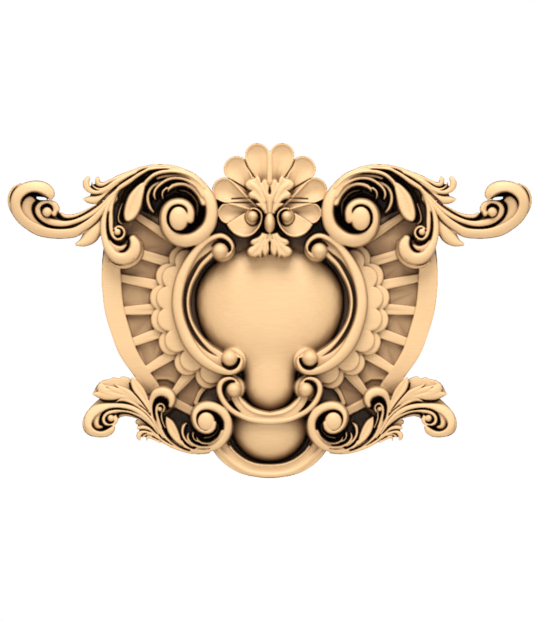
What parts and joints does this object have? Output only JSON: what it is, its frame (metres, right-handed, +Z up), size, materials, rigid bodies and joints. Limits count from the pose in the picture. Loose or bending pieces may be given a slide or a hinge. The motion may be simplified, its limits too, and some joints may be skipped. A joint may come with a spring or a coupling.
{
  "type": "carved cartouche wall panel",
  "caption": "Carved wooden cartouche with a domed field in C-scrolls, a shell crest, radial bars, scallops and acanthus scrolls, flat behind to fix to a wall",
  "frame": {"origin": "on the flat back, on the centre line, halfway up the panel", "axes": "+X along the panel to the viewer's right, +Z up, the carved front faces -Y and +Y points into the wall"},
  "size_m": [0.5232, 0.052, 0.3353],
  "materials": {
    "carved_wood": "carved pale hardwood, sanded, with a dark glaze in the hollows"
  },
  "bodies": {
    "root": {"cartouche_panel": "carved_wood"}
  },
  "joints": []
}
